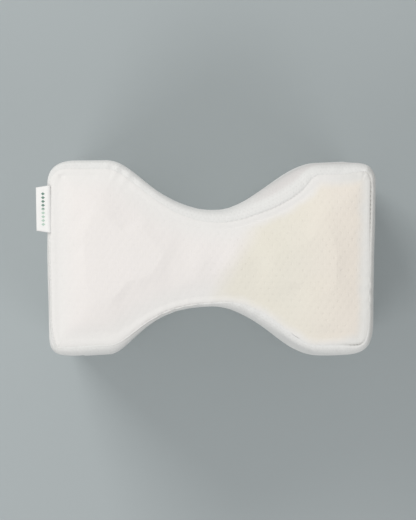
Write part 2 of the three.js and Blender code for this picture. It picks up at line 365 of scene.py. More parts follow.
def pick_columns(outline, long_columns, end_columns):
    """The outline at even columns between the four corners, from the upper left one."""
    starts = [outline.walked[corner] for corner in outline.corners]
    ends = starts[1:] + [starts[0] + outline.girth]
    counts = (end_columns, long_columns, end_columns, long_columns)
    places = np.concatenate([
        start + (end - start) * np.arange(count) / count
        for start, end, count in zip(starts, ends, counts)
    ])
    parts = (outline.at, outline.outward, outline.inset, outline.roll, outline.seam, outline.seam_outward)
    picked = closed_at(np.column_stack(parts), outline.walked, outline.girth, places)
    at, outward, inset, roll, seam, seam_outward = np.split(picked, (2, 4, 5, 6, 8), axis=1)
    outward = outward / np.linalg.norm(outward, axis=1)[:, None]
    seam_outward = seam_outward / np.linalg.norm(seam_outward, axis=1)[:, None]
    return Outline(at, outward, inset[:, 0], roll[:, 0], seam, seam_outward, places, outline.girth, None)


def every_second(columns):
    """Half of the columns, for the calmer parts of the cover."""
    return Outline(*(part[::2] if isinstance(part, np.ndarray) else part for part in columns))


# Mesh of the cover

# The indices of the cover's two materials.
PANEL, GUSSET = 0, 1


class Cloth:
    """Points, faces and pattern coordinates of a piece of sewn cloth, gathered part by part."""

    def __init__(self):
        self.points, self.gaps, self.ways, self.faces, self.flats, self.materials = [], [], [], [], [], []
        self.count = 0

    def add_points(self, points, gap, way):
        """Adds points with their distance from the nearest seam and their way round it."""
        first = self.count
        self.points.append(points)
        self.gaps.append(np.broadcast_to(gap, len(points)))
        self.ways.append(np.broadcast_to(way, len(points)))
        self.count += len(points)
        return np.arange(first, self.count)

    def add_faces(self, faces, flat, material):
        """Adds faces of equal size with their pattern coordinates and their material's index."""
        self.faces.extend(faces.tolist())
        self.flats.append(flat.reshape(-1, 2))
        self.materials.append(np.full(len(faces), material))


def closed(values):
    """Values round a ring, with the first once more at the end."""
    return np.append(values, values[0])


def quads(upper, lower):
    """Corners of the quads between two closed rows, of points or of pattern coordinates."""
    return np.stack([upper[:-1], lower[:-1], lower[1:], upper[1:]], axis=1)


def halving_triangles(upper, lower):
    """Corners of the triangles between a closed row and one with half as many columns."""
    first, middle, last = upper[:-1:2], upper[1::2], upper[2::2]
    low, following = lower[:-1], lower[1:]
    corners = ((first, low, middle), (middle, low, following), (middle, following, last))
    return np.concatenate([np.stack(three, axis=1) for three in corners])


def ring_places(long_columns, end_columns):
    """Grid places of the points of the ring round it, anticlockwise from the upper left."""
    left = [(0, end_columns - k) for k in range(end_columns)]
    lower = [(k, 0) for k in range(long_columns)]
    right = [(long_columns, k) for k in range(end_columns)]
    upper = [(long_columns - k, end_columns) for k in range(long_columns)]
    return tuple(np.array(left + lower + right + upper).T)


def patch_points(ring, counts):
    """Inner points of a grid that fills a closed ring, with its lines evened out."""
    grid = np.zeros((counts[0] + 1, counts[1] + 1, 2))
    grid[ring_places(*counts)] = ring
    left, right, lower, upper = grid[:1], grid[-1:], grid[:, :1], grid[:, -1:]
    u = np.linspace(0, 1, counts[0] + 1)[:, None, None]
    v = np.linspace(0, 1, counts[1] + 1)[None, :, None]
    across = (1 - v) * lower + v * upper
    along = (1 - u) * left + u * right
    corners = ((1 - u) * (1 - v) * lower[0] + u * (1 - v) * lower[-1]
               + (1 - u) * v * upper[0] + u * v * upper[-1])
    return evened_grid(across + along - corners)[1:-1, 1:-1].reshape(-1, 2)


def evened_grid(grid):
    """Moves a grid's inner points until its lines run evenly and none cross near the corners."""
    grid = grid / MM
    for _ in range(EVENING_ROUNDS):
        right, left, above, below = grid[2:, 1:-1], grid[:-2, 1:-1], grid[1:-1, 2:], grid[1:-1, :-2]
        along, across = (right - left) / 2, (above - below) / 2
        along_square = (along ** 2).sum(-1, keepdims=True)
        across_square = (across ** 2).sum(-1, keepdims=True)
        slant = (along * across).sum(-1, keepdims=True)
        twist = (grid[2:, 2:] - grid[:-2, 2:] - grid[2:, :-2] + grid[:-2, :-2]) / 4
        total = across_square * (right + left) + along_square * (above + below) - 2 * slant * twist
        grid[1:-1, 1:-1] = total / (2 * (along_square + across_square))
    return grid * MM


def patch_indices(ring_indices, inner_indices, counts):
    """Vertex indices of the grid, with its edge taken from the ring."""
    grid = np.empty((counts[0] + 1, counts[1] + 1), int)
    grid[ring_places(*counts)] = ring_indices
    grid[1:-1, 1:-1] = inner_indices.reshape(counts[0] - 1, counts[1] - 1)
    return grid


def grid_faces(grid):
    """Quads of a grid of vertex indices, facing up."""
    return np.column_stack([
        grid[:-1, :-1].ravel(), grid[1:, :-1].ravel(), grid[1:, 1:].ravel(), grid[:-1, 1:].ravel()])


def nearest_on(line):
    """A finder of the nearest point of a flat closed line."""
    tree = KDTree(len(line))
    for index, (x, y) in enumerate(line):
        tree.insert((x, y, 0.0), index)
    tree.balance()
    return tree


def seam_distances(tree, walked, points):
    """Distance of each flat point from a seam, and the way round of the nearest place on it."""
    found = [tree.find((x, y, 0.0)) for x, y in points]
    return np.array([hit[2] for hit in found]), walked[[hit[1] for hit in found]]


def corner_share(at):
    """How near a point is to a corner, from 0 in the middle to 1."""
    return (np.abs(at[:, 0]) / CORNER[0] * np.abs(at[:, 1]) / CORNER[1]) ** 3


def front_seam_height(at, sizes):
    return sizes.depth - sizes.crown - sizes.corner_droop * corner_share(at)


def back_seam(columns):
    """The back seam, seen from above."""
    return columns.at - columns.outward * BACK_SEAM_INSET * MM


def crown_rise(gap, sizes):
    """Rise of the front panel at a distance from its seam."""
    share = np.clip(gap / (CROWN_REACH * MM), 0, 1)
    return sizes.crown * (1 - (1 - share) ** CROWN_SQUARENESS)


def trough_depth(walked, height, girth):
    """How far the gusset sinks at a place. The troughs are counted from the upper neck."""
    depth = np.zeros_like(walked)
    for place, middle, deep, along, up in GUSSET_TROUGHS:
        apart = np.abs(np.mod(walked, girth) - place * girth)
        apart = np.minimum(apart, girth - apart) / (along * MM)
        depth += deep * MM * np.exp(-apart ** 2 - ((height - middle * MM) / (up * MM)) ** 2)
    return depth


def gusset_ring(columns, out, height):
    """A ring of the gusset, some way out from the outline and at some height."""
    height = np.broadcast_to(height, len(columns.at))
    net = out - trough_depth(columns.walked, height, columns.girth)
    return np.column_stack([columns.at + columns.outward * net[:, None], height])


def rolled(step, rows, power):
    """How far in and how far down a roll of the gusset lies at a row, from 0 to 1."""
    angle = np.pi / 2 * (step / rows) ** ROLL_CROWDING
    return 1 - np.sin(angle) ** power, 1 - np.cos(angle) ** power


def gusset_rings(columns, half, sizes):
    """Rings of the gusset below the front seam: full ones over the front roll, then half ones."""
    seam_height = front_seam_height(columns.seam, sizes)
    roll_depth = FRONT_ROLL_DEPTH * MM + FRONT_ROLL_SHARE * columns.inset
    full = []
    for step in range(1, ROLL_ROWS + 1):
        inward, down = rolled(step, ROLL_ROWS, 2 / columns.roll)
        full.append(gusset_ring(columns, -columns.inset * inward, seam_height - down * roll_depth))
    halves = []
    wall_top = (seam_height - roll_depth)[::2]
    back_depth = BACK_ROLL_DEPTH * MM
    convex = np.clip((half.at * half.outward).sum(axis=1) / BULGING_REACH, 0, 1)
    for step in range(1, WALL_ROWS + 1):
        share = step / (WALL_ROWS + 1)
        bulge = sizes.wall_bulge * np.sin(np.pi * share) * convex
        halves.append(gusset_ring(half, bulge, wall_top + (back_depth - wall_top) * share))
    for step in range(BACK_ROLL_ROWS, 0, -1):
        inward, down = rolled(step, BACK_ROLL_ROWS, 2 / BACK_ROLL_SQUARENESS)
        halves.append(gusset_ring(half, -BACK_SEAM_INSET * MM * inward, down * back_depth))
    return full, halves


def add_panel(cloth, rings, patch, counts, facing):
    """Adds a panel's faces from its seam inwards, facing up (1) or down (-1), patterned by x and y."""
    points = np.vstack(cloth.points)
    strips = [quads(closed(inner), closed(outer)) for outer, inner in zip(rings, rings[1:])]
    for faces in (*strips, grid_faces(patch_indices(rings[-1], patch, counts))):
        faces = faces[:, ::facing]
        cloth.add_faces(faces, points[faces][:, :, :2], PANEL)


def gusset_rows(rings, falls, columns):
    """Closed rows of the gusset's points, and of their way round and down on the pattern."""
    walked = np.append(columns.walked - columns.walked[0], columns.girth)
    return [(closed(ring), np.column_stack([walked, closed(fall)])) for ring, fall in zip(rings, falls)]


def add_gusset_faces(cloth, corners_of, rows):
    """Adds the faces between rows of the gusset."""
    for upper, lower in zip(rows, rows[1:]):
        faces, flat = (corners_of(above, below) for above, below in zip(upper, lower))
        cloth.add_faces(faces, flat, GUSSET)


def falls_down(rings):
    """How far down along the cloth each ring of a stack lies."""
    steps = [np.linalg.norm(lower - upper, axis=1) for upper, lower in zip(rings, rings[1:])]
    return np.cumsum([np.zeros(len(rings[0])), *steps], axis=0)


def sewn_cover(outline, sizes):
    """The cover as cut and sewn over the foam, before the cloth settles."""
    counts = (LONG_COLUMNS, END_COLUMNS)
    columns = pick_columns(outline, *counts)
    half_counts = (LONG_COLUMNS // 2, END_COLUMNS // 2)
    half = every_second(columns)
    cloth = Cloth()
    seam_tree = nearest_on(outline.seam)
    top = np.column_stack([columns.seam, front_seam_height(columns.seam, sizes)])
    seam = cloth.add_points(top, 0.0, columns.walked)

    front_rings = [seam]
    for gap in np.array(RIM_GAPS) * MM:
        at = columns.seam - eased_outward(columns.seam_outward, gap, outline.girth) * gap
        true_gap, _ = seam_distances(seam_tree, outline.walked, at)
        height = front_seam_height(at, sizes) + crown_rise(true_gap, sizes)
        front_rings.append(cloth.add_points(np.column_stack([at, height]), true_gap, columns.walked))
    inner = patch_points(at, counts)
    gap, way = seam_distances(seam_tree, outline.walked, inner)
    height = front_seam_height(inner, sizes) + crown_rise(gap, sizes)
    patch = cloth.add_points(np.column_stack([inner, height]), gap, way)
    add_panel(cloth, front_rings, patch, counts, 1)

    full, halves = gusset_rings(columns, half, sizes)
    falls = falls_down([top, *full])
    full_rings = [seam]
    for ring, fall in zip(full, falls[1:]):
        full_rings.append(cloth.add_points(ring, fall, columns.walked))
    full_rows = gusset_rows(full_rings, falls, columns)
    add_gusset_faces(cloth, quads, full_rows)

    back_at = back_seam(half)
    half_points = [full[-1][::2], *halves, np.column_stack([back_at, np.zeros(len(back_at))])]
    half_falls = falls[-1][::2] + falls_down(half_points)
    half_rings = [
        cloth.add_points(ring, np.minimum(fall, half_falls[-1] - fall), half.walked)
        for ring, fall in zip(half_points[1:], half_falls[1:])]
    half_rows = gusset_rows(half_rings, half_falls[1:], half)
    add_gusset_faces(cloth, halving_triangles, [full_rows[-1], half_rows[0]])
    add_gusset_faces(cloth, quads, half_rows)

    back_rings = [half_rings[-1]]
    for gap in np.array(BACK_RIM_GAPS) * MM:
        at = back_at - eased_outward(half.outward, gap, outline.girth) * gap
        back_rings.append(cloth.add_points(np.column_stack([at, np.zeros(len(at))]), gap, half.walked))
    inner = patch_points(at, half_counts)
    gap, way = seam_distances(nearest_on(back_seam(outline)), outline.walked, inner)
    patch = cloth.add_points(np.column_stack([inner, np.zeros(len(inner))]), gap, way)
    add_panel(cloth, back_rings, patch, half_counts, -1)
    return cloth


def corner_triangles(faces):
    """The triangles of quads and triangles, for normals."""
    quads = np.array([face for face in faces if len(face) == 4])
    triangles = np.array([face for face in faces if len(face) == 3])
    return np.vstack([quads[:, [0, 1, 2]], quads[:, [0, 2, 3]], triangles])


def point_normals(points, triangles):
    """Outward normals at the points."""
    a, b, c = (points[triangles[:, k]] for k in range(3))
    face_normals = np.cross(b - a, c - a)
    normals = np.zeros_like(points)
    for k in range(3):
        np.add.at(normals, triangles[:, k], face_normals)
    return normals / np.maximum(np.linalg.norm(normals, axis=1), 1e-12)[:, None]


def spread(values, triangles, rounds):
    """Values at the points, evened out with their neighbours some rounds."""
    edges = np.vstack([triangles[:, [0, 1]], triangles[:, [1, 2]], triangles[:, [2, 0]]])
    weight = np.bincount(edges.ravel(), minlength=len(values)).astype(float)[:, None]
    for _ in range(rounds):
        total = np.zeros_like(values)
        for axis in range(values.shape[1]):
            total[:, axis] = (np.bincount(edges[:, 0], values[edges[:, 1], axis], len(values))
                              + np.bincount(edges[:, 1], values[edges[:, 0], axis], len(values)))
        values = 0.4 * values + 0.6 * total / weight
    return values


# Settling of the cloth

# In millimetres: how near points are merged first, the size of the settling mesh's faces, how far
# from a seam they are held, and how far from it the fine cover's settling grows full.
MERGED = 0.02
VOXEL = 4.6
SEWN_REACH = 7
SEAM_HOLD = 5
SEWN_STRENGTH = 1.6

# Heights in metres: the base that is held, the base that settles less, the height where the gusset
# no longer settles, and how far below it the gusset settles in full.
HELD_BASE = 0.003
CALM_BASE = 0.012
SETTLING_TOP = 0.178
SETTLING_FADE = 0.05

# Frames of the simulation, rounds of evening out its moves, and its settings.
SETTLING_FRAMES = 20
SETTLING_ROUNDS = 14
CLOTH_SETTINGS = {
    "quality": 6,
    "mass": 0.25,
    "tension_stiffness": 18,
    "compression_stiffness": 12,
    "shear_stiffness": 6,
    "bending_stiffness": 0.35,
    "air_damping": 4,
    "use_pressure": True,
    "uniform_pressure_force": 3.2,
    "shrink_min": -0.012,
}


def mesh_points(mesh):
    points = np.empty(len(mesh.vertices) * 3)
    mesh.vertices.foreach_get("co", points)
    return points.reshape(-1, 3)


def inflated_foam(outline, sizes):
    """Where the cloth goes when the foam presses on it from inside, held at its seams.

    Returns the points before, the faces, and how far each point moved.
    """
    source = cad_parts["pillow"]
    mesh = source.data.copy()
    body = bpy.data.objects.new("settling_cloth", mesh)
    bpy.context.scene.collection.objects.link(body)
    merged = bmesh.new()
    merged.from_mesh(mesh)
    bmesh.ops.remove_doubles(merged, verts=merged.verts, dist=MERGED * MM)
    merged.to_mesh(mesh)
    merged.free()
    bpy.ops.object.select_all(action="DESELECT")
    body.select_set(True)
    bpy.context.view_layer.objects.active = body
    mesh.remesh_voxel_size = VOXEL * MM
    mesh.remesh_voxel_adaptivity = 0.0
    bpy.ops.object.voxel_remesh()
    before = mesh_points(body.data)
    faces = [list(polygon.vertices) for polygon in body.data.polygons]

    front = nearest_on(outline.seam)
    back = nearest_on(back_seam(outline))
    pins = body.vertex_groups.new(name="sewn")
    for index, (x, y, z) in enumerate(before):
        seam_height = front_seam_height(np.array([[x, y]]), sizes)[0]
        to_front = Vector((front.find((x, y, 0.0))[2], 0.0, z - seam_height))
        to_back = Vector((back.find((x, y, 0.0))[2], 0.0, z))
        hold = max(1 - min(to_front.length, to_back.length) / (SEWN_REACH * MM), 0.0)
        pins.add([index], 1.0 if z < HELD_BASE else min(hold * SEWN_STRENGTH, 1.0), "REPLACE")

    modifier = body.modifiers.new("Cloth", "CLOTH")
    for name, value in CLOTH_SETTINGS.items():
        setattr(modifier.settings, name, value)
    modifier.settings.vertex_group_mass = pins.name
    modifier.settings.effector_weights.gravity = 0.0
    modifier.collision_settings.use_collision = False
    modifier.collision_settings.use_self_collision = False
    scene = bpy.context.scene
    scene.frame_start, scene.frame_end = 1, SETTLING_FRAMES
    for step in range(1, SETTLING_FRAMES + 1):
        scene.frame_set(step)
    bpy.ops.object.modifier_apply(modifier=modifier.name)
    after = mesh_points(body.data)
    scene.frame_set(1)
    bpy.data.objects.remove(body, do_unlink=True)
    return before, faces, after - before


def carried_moves(points, before, faces, moves):
    """Moves of the fine cover's points, taken from the nearest place of the settled cloth."""
    tree = BVHTree.FromPolygons(before.tolist(), faces)
    corners = [[Vector(before[index]) for index in face] for face in faces]
    carried = np.zeros_like(points)
    for index, point in enumerate(points):
        place, _, face, _ = tree.find_nearest(Vector(point))
        weights = poly_3d_calc(corners[face], place)
        carried[index] = np.array(weights) @ moves[faces[face]]
    return carried


def settle(points, triangles, gaps, outline, sizes):
    """Moves the sewn cover, cut a little small, to where the pressed cloth settles.

    The foam holds the cloth at the top edge of the gusset, and keeps it from sinking far.
    """
    before, faces, moves = inflated_foam(outline, sizes)
    moves = spread(carried_moves(points, before, faces, moves), triangles, SETTLING_ROUNDS)
    length = np.linalg.norm(moves, axis=1)
    cap = np.minimum(1.0, sizes.puff / np.maximum(length, 1e-9))
    normals = point_normals(points, triangles)
    outward = ((moves * cap[:, None]) * normals).sum(axis=1) - sizes.puff
    outward = np.maximum(outward, -SINK * MM * np.tanh(-outward / (SINK * MM)))
    free = 1 - np.exp(-(gaps / (SEAM_HOLD * MM)) ** 1.5)
    on_base = np.clip(points[:, 2] / CALM_BASE, 0, 1)
    on_panel = points[:, 2] > front_seam_height(points[:, :2], sizes) - 1e-6
    on_gusset = np.clip((SETTLING_TOP - points[:, 2]) / SETTLING_FADE, HELD_SHARE, 1)
    held = np.where(on_panel, 1.0, on_gusset)
    return points + normals * (outward * free * on_base * held)[:, None]


# Relief of seams and soft cloth

# The whole waves round the pillow that make up each ripple, and the seed of their phases.
LIVELINESS = ((3, 5, 8, 11), 5)
PANEL_RIPPLE = ((59, 67, 74, 83, 91), 11)
GUSSET_RIPPLE = ((61, 70, 77, 88), 17)

# How far the seam's line, the puckers and the calm beside a seam reach from it, in millimetres.
SEAM_WIDTH = 0.5
PUCKER_START = 0.9
PUCKER_REACH = 4.5
SWELL_START = 6

# Shares of the puckers on the panels, and of the swells on the panels and on the gusset, and the
# height in metres where the relief is full above the flat base.
PANEL_PUCKERS = 0.45
PANEL_SWELLS = 0.3
GUSSET_SWELLS = 1.2
RELIEF_BASE = 0.004


def ripple(way, girth, waves, seed):
    """A smooth ripple along a closed seam, made of whole waves, about one high."""
    pick = np.random.default_rng(seed)
    phases = pick.uniform(0, TURN, len(waves))
    total = sum(np.sin(TURN * count * way / girth + phase) for count, phase in zip(waves, phases))
    return total / np.sqrt(len(waves) / 2)


def stronger_near(places, way, outline):
    """How much a line shows at ways round the front seam, from places beside it."""
    extra = np.zeros_like(way)
    for (x, y), reach, share in places:
        middle = outline.walked[np.argmin(np.linalg.norm(outline.seam - np.array([x, y]) * MM, axis=1))]
        apart = np.abs(np.mod(way, outline.girth) - middle)
        apart = np.minimum(apart, outline.girth - apart) / (reach * MM)
        extra += share * np.exp(-apart ** 2)
    return extra


def seam_show(gaps, ways, outline):
    """How strongly the seam's line shows at a point, about one where it is plainest. It sets the groove's
    depth and the painted shade in it.
    """
    dashes = 1 + 0.35 * np.cos(TURN * round(outline.girth / (DASH * MM)) * ways / outline.girth)
    shown = FAINTEST_SEAM + stronger_near(SEAM_ACCENTS, ways, outline)
    return shown * dashes * np.exp(-gaps / (SEAM_WIDTH * MM))


def eased_crown(points, gaps, triangles, sizes):
    """The points with the front panel's heights evened out, away from its seam."""
    height = spread(points[:, 2:], triangles, 60)[:, 0]
    share = np.clip((gaps / MM - 1.2) / 4, 0, 1)
    share = np.where(points[:, 2] > front_seam_height(points[:, :2], sizes) + 1e-6, share, 0)
    return np.column_stack([points[:, :2], points[:, 2] + (height - points[:, 2]) * share])


def sewing_relief(points, gaps, ways, outline, sizes):
    """Height of the seam's groove, the puckers beside it and the broad swells."""
    girth = outline.girth
    lively = np.clip(0.55 + 0.45 * ripple(ways, girth, *LIVELINESS), 0.1, 1.4)
    groove = sizes.seam_groove * seam_show(gaps, ways, outline)
    on_panel = points[:, 2] > front_seam_height(points[:, :2], sizes) + 1e-5
    fine = np.where(on_panel, ripple(ways, girth, *PANEL_RIPPLE), ripple(ways, girth, *GUSSET_RIPPLE))
    beside = np.exp(-gaps / (PUCKER_REACH * MM)) * (1 - np.exp(-gaps / (PUCKER_START * MM)))
    pucker = sizes.pucker * lively * fine * beside * np.where(on_panel, PANEL_PUCKERS, 1.0)
    swell = np.array([
        noise.noise(Vector(point) * 17.0) + 0.5 * noise.noise(Vector(point) * 38.0 + Vector((3, 7, 1)))
        for point in points])
    calm = 1 - np.exp(-gaps / (SWELL_START * MM))
    wall = np.where(on_panel, PANEL_SWELLS, GUSSET_SWELLS)
    return pucker - groove + sizes.unevenness * wall * swell * calm


def make_mesh(name, points, faces):
    """A new object with a mesh at the origin, smooth all over."""
    mesh = bpy.data.meshes.new(name)
    mesh.from_pydata(points.tolist(), [], faces)
    mesh.polygons.foreach_set("use_smooth", [True] * len(mesh.polygons))
    piece = bpy.data.objects.new(name, mesh)
    bpy.context.scene.collection.objects.link(piece)
    return piece


# Materials

# Painted shade in the seam's groove and along the row of stitching.
THREAD_SHADOW = (0.42, 0.41, 0.38)

# The tape's woven diamonds: how far their row reaches from the tape's middle, how far out they
# lie, and half of a diamond's length and width, in metres.
MARKED_REACH = 0.013
MARK_LINE = 0.0052
MARK_HALF_LENGTH = 0.00125
MARK_HALF_WIDTH = 0.0016


class Value:
    """A number, vector or colour worked out by a material's nodes."""

    def __init__(self, recipe, socket):
        self.recipe = recipe
        self.socket = socket

    def __add__(self, other):
        return self.recipe.math("ADD", self, other)

    def __sub__(self, other):
        return self.recipe.math("SUBTRACT", self, other)

    def __mul__(self, other):
        return self.recipe.math("MULTIPLY", self, other)

    def __truediv__(self, other):
        return self.recipe.math("DIVIDE", self, other)

    def __abs__(self):
        return self.recipe.math("ABSOLUTE", self)

    def ramp(self, *values):
        return self.recipe.ramp(self, *values)


class Recipe:
    """A material's nodes, added and joined one by one."""

    def __init__(self, name):
        self.material = bpy.data.materials.new(name)
        self.material.use_nodes = True
        self.tree = self.material.node_tree
        self.tree.nodes.clear()
        self.shader = self.add("ShaderNodeBsdfPrincipled")
        output = self.add("ShaderNodeOutputMaterial")
        self.tree.links.new(self.shader.outputs["BSDF"], output.inputs["Surface"])

    def add(self, kind, *values, **settings):
        """A new node with its settings, and with values for its first inputs."""
        node = self.tree.nodes.new(kind)
        for name, value in settings.items():
            setattr(node, name, value)
        for socket, value in zip(node.inputs, values):
            self.feed(socket, value)
        return node

    def feed(self, socket, value):
        """Joins a worked out value to a socket, or sets a plain one."""
        if isinstance(value, Value):
            self.tree.links.new(value.socket, socket)
        else:
            socket.default_value = value

    def feed_named(self, node, **values):
        for name, value in values.items():
            self.feed(node.inputs[name.replace("_", " ")], value)

    def math(self, operation, *values):
        return Value(self, self.add("ShaderNodeMath", *values, operation=operation).outputs[0])

    def vector(self, operation, *values):
        """A vector worked out from others, or a vector's length."""
        node = self.add("ShaderNodeVectorMath", *values, operation=operation)
        return Value(self, node.outputs["Value" if operation == "LENGTH" else "Vector"])

    def ramp(self, value, low, high, to_low=0.0, to_high=1.0):
        """Smooth step of a value from one range to another."""
        node = self.add(
            "ShaderNodeMapRange", value, low, high, to_low, to_high, interpolation_type="SMOOTHSTEP")
        return Value(self, node.outputs["Result"])

    def mix(self, share, first, second):
        """A share of the second colour in the first."""
        node = self.add("ShaderNodeMix", share, data_type="RGBA")
        for socket, colour in zip(node.inputs[6:8], (first, second)):
            self.feed(socket, colour if isinstance(colour, Value) else (*colour, 1.0))
        return Value(self, node.outputs[2])

    def noise(self, coordinates, scale, detail=2.0, output="Fac"):
        node = self.add("ShaderNodeTexNoise")
        self.feed_named(node, Vector=coordinates, Scale=scale, Detail=detail)
        return Value(self, node.outputs[output])

    def cloud(self, coordinates, scale, detail, low, high):
        """Soft patches of a value from low to high."""
        return self.ramp(self.noise(coordinates, scale, detail), 0.3, 0.7, low, high)

    def split(self, coordinates):
        return [Value(self, socket) for socket in self.add("ShaderNodeSeparateXYZ", coordinates).outputs]

    def place(self):
        """Where a point lies on the pillow."""
        return Value(self, self.add("ShaderNodeTexCoord").outputs["Object"])

    def pattern(self):
        """Where a point lies on the flat cloth."""
        return Value(self, self.add("ShaderNodeUVMap", uv_map="cloth").outputs["UV"])

    def carried(self, name):
        """A value that the mesh carries at its points."""
        return Value(self, self.add("ShaderNodeAttribute", attribute_name=name).outputs["Fac"])

    def drifting(self, flat, scale, reach):
        """Flat coordinates that wander a little, as the rows of a knit do."""
        drift = self.vector("SUBTRACT", self.noise(flat, scale, 1.0, "Color"), (0.5, 0.5, 0.5))
        return self.vector("ADD", flat, self.vector("MULTIPLY", drift, (reach, reach, reach)))

    def bump(self, height):
        """Bump from a height in metres."""
        node = self.add("ShaderNodeBump")
        self.feed_named(node, Strength=1.0, Distance=1.0, Height=height)
        self.tree.links.new(node.outputs["Normal"], self.shader.inputs["Normal"])

    def finish(self, **values):
        """Sets the shader's own sockets."""
        self.feed_named(self.shader, **values)
        return self.material


def staggered_distance(recipe, flat, along, across):
    """Distance from the nearest point of a staggered lattice."""
    distances = []
    for offset in ((0.0, 0.0, 0.0), (along / 2, across, 0.0)):
        moved = recipe.vector("ADD", flat, offset)
        cell = recipe.vector("MULTIPLY", moved, (1 / along, 1 / (2 * across), 0.0))
        centred = recipe.vector("SUBTRACT", recipe.vector("FRACTION", cell), (0.5, 0.5, 0.0))
        away = recipe.vector("MULTIPLY", centred, (along, 2 * across, 0.0))
        distances.append(recipe.vector("LENGTH", away))
    return recipe.math("MINIMUM", *distances)


def stitch_height(recipe, flat, wale, depth):
    """Height of the knit's columns of loops: a wave across, broken by the rows."""
    x, y, _ = recipe.split(flat)
    column = recipe.math("SINE", x * (TURN / wale))
    lean = abs(column) * 0.5
    row = recipe.math("SINE", y * (TURN / (0.85 * wale)) + lean * TURN)
    return (column * 0.55 + row * 0.45) * depth


def seam_shade(recipe, colour):
    """Darkens the cloth a little where it turns into the seam, as painted shade in the seam's groove."""
    return recipe.mix(recipe.carried("seam_show") * 0.35, colour, THREAD_SHADOW)


def stitch_row(recipe):
    """How strongly the row of stitching shows on the gusset."""
    off = abs(recipe.carried("seam_gap") - STITCH_GAP * MM)
    return recipe.carried("stitch_show") * off.ramp(0.0, 0.0006, 1.0, 0.0)


def make_panel_knit(finish):
    """Dimpled knit of the front and back panels, white on the left and cream on the right."""
    recipe = Recipe("panel_knit")
    flat = recipe.pattern()
    knit = recipe.drifting(flat, 90.0, 0.0012)
    gap = recipe.carried("seam_gap")
    x, y, _ = recipe.split(recipe.place())

    # The dimples are fainter in patches, beside the seam and on the left half.
    radius = finish.dimple_radius
    apart = staggered_distance(recipe, knit, finish.dimple_width, finish.dimple_rise)
    strong = recipe.ramp(recipe.noise(flat, 60.0), 0.35, 0.65, 0.4, 1.0)
    strong = strong * gap.ramp(0.002, 0.009, 0.25, 1.0) * x.ramp(-0.03, 0.04, 0.45, 1.0)
    dimple = apart.ramp(0.25 * radius, radius, 1.0, 0.0) * strong
    puff = apart.ramp(radius, 2.4 * radius)
    height = dimple * -finish.dimple_depth + puff * (0.25 * finish.dimple_depth)
    height = height + stitch_height(recipe, knit, finish.wale, 0.00003)
    recipe.bump(height + recipe.noise(flat, 900.0, 3.0) * 0.00006)

    # The cream begins on a slant across the middle and stops short of the seam, least at the
    # lower side.
    warm = recipe.ramp(x - y * 0.55 + recipe.noise(flat, 30.0) * 0.008, 0.012, 0.036)
    nearer = y.ramp(-0.04, 0.02, 0.0045, 0.0) * x.ramp(0.09, 0.115, 1.0, 0.0)
    reach = gap + nearer + (recipe.noise(flat, 70.0) * 0.005 - 0.0025)
    warm = warm * reach.ramp(0.003, 0.0115)
    cream = recipe.mix(x.ramp(0.05, 0.11), finish.cream_colour, finish.far_cream_colour)
    plain = recipe.mix(gap.ramp(0.002, 0.022, 0.85, 0.0), finish.panel_colour, finish.edge_colour)
    # Painted shade: the white greys towards the right end.
    white = recipe.mix(x.ramp(0.08, 0.115), plain, finish.painted_end_shade)
    colour = recipe.mix(warm, white, cream)
    colour = recipe.mix(recipe.cloud(flat, 22.0, 3.0, 0.0, 0.10), colour, (0.74, 0.73, 0.71))
    # Painted shade in the dimples' hollows.
    colour = recipe.mix(dimple * 0.055, colour, (0.55, 0.52, 0.46))
    return recipe.finish(
        Base_Color=seam_shade(recipe, colour), Roughness=recipe.cloud(flat, 400.0, 2.0, 0.86, 0.98),
        Sheen_Weight=0.22, Sheen_Roughness=0.55, Specular_IOR_Level=0.22)


def make_gusset_knit(finish):
    """Smoother, whiter knit of the gusset, with fine upright ribs."""
    recipe = Recipe("gusset_knit")
    flat = recipe.pattern()
    knit = recipe.drifting(flat, 60.0, 0.0016)
    x, y, z = recipe.split(recipe.place())
    speck = recipe.ramp(staggered_distance(recipe, knit, 0.0031, 0.0027), 0.0002, 0.0009, 1.0, 0.0)
    stitches = stitch_row(recipe)
    height = speck * -0.00012 + stitch_height(recipe, knit, finish.wale, 0.00006)
    recipe.bump(height + recipe.noise(flat, 700.0, 3.0) * 0.00008 + stitches * -0.0003)

    # Painted shade: the cloth is greyed on the outer part of the upper right flank, and at the right end's
    # top.
    colour = recipe.mix(recipe.cloud(flat, 14.0, 3.0, 0.0, 0.14), finish.gusset_colour, (0.72, 0.71, 0.69))
    # Painted shade, pinkish grey, on the outer part of the upper right flank.
    flank = x.ramp(0.015, 0.05) * y.ramp(0.03, 0.042) * z.ramp(0.15, 0.175, 0.0, 0.55)
    flank = flank * recipe.ramp(recipe.carried("seam_gap"), 0.0075, 0.0125)
    colour = recipe.mix(flank, colour, (0.68, 0.64, 0.63))
    # Painted shade at the top of the gusset at the right end.
    right_end_shade = x.ramp(0.1165, 0.1205) * z.ramp(0.16, 0.19)
    colour = recipe.mix(right_end_shade, colour, (0.68, 0.68, 0.66))
    # Painted shade in the specks' hollows.
    colour = recipe.mix(speck * 0.07, colour, (0.50, 0.49, 0.46))
    # Painted shade along the groove of the row of stitching.
    colour = recipe.mix(stitches * 0.4, colour, THREAD_SHADOW)
    return recipe.finish(
        Base_Color=seam_shade(recipe, colour), Roughness=recipe.cloud(flat, 350.0, 2.0, 0.84, 0.97),
        Sheen_Weight=0.25, Sheen_Roughness=0.5, Specular_IOR_Level=0.24)


